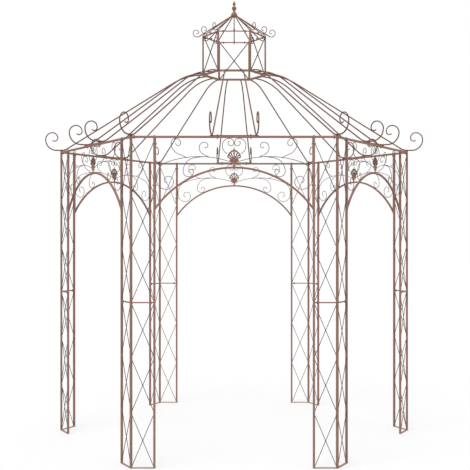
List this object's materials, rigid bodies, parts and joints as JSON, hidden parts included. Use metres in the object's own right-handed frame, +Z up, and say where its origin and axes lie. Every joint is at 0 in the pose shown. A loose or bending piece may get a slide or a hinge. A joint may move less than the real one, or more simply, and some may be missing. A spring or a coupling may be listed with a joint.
{
  "type": "hexagonal garden pavilion",
  "caption": "Open hexagonal garden pavilion of iron tube and rod, with lattice corner legs, arched sides with scrollwork, and a ribbed roof under a small lantern and finial.",
  "frame": {"origin": "middle of the hexagon, at the bottom of the feet", "axes": "+Z up, +X towards a leg corner, -Y towards the middle of the front side"},
  "size_m": [3.283, 2.8808, 3.728],
  "materials": {
    "frame_tube": "antique brown coat, matt, rubbed to a red brown in places",
    "rod": "antique brown coat on round rod, matt",
    "casting": "antique brown coat on castings, matt"
  },
  "bodies": {
    "root": {"leg_1_lower": "frame_tube", "leg_1_upper": "frame_tube", "leg_2_lower": "frame_tube", "leg_2_upper": "frame_tube", "leg_3_lower": "frame_tube", "leg_3_upper": "frame_tube", "leg_4_lower": "frame_tube", "leg_4_upper": "frame_tube", "leg_5_lower": "frame_tube", "leg_5_upper": "frame_tube", "leg_6_lower": "frame_tube", "leg_6_upper": "frame_tube", "arch_1": "frame_tube", "arch_2": "frame_tube", "arch_3": "frame_tube", "arch_4": "frame_tube", "arch_5": "frame_tube", "arch_6": "frame_tube", "scrollwork_1": "rod", "scrollwork_2": "rod", "scrollwork_3": "rod", "scrollwork_4": "rod", "scrollwork_5": "rod", "scrollwork_6": "rod", "shells": "casting", "roof_ribs_1": "rod", "roof_ribs_2": "rod", "roof_ribs_3": "rod", "roof_ribs_4": "rod", "roof_ribs_5": "rod", "roof_ribs_6": "rod", "corner_rib_1": "rod", "corner_rib_2": "rod", "corner_rib_3": "rod", "corner_rib_4": "rod", "corner_rib_5": "rod", "corner_rib_6": "rod", "lantern_ring": "frame_tube", "lantern_posts": "frame_tube", "lantern_braces": "rod", "lantern_eave": "frame_tube", "lantern_ribs": "rod", "finial": "casting"}
  },
  "joints": []
}
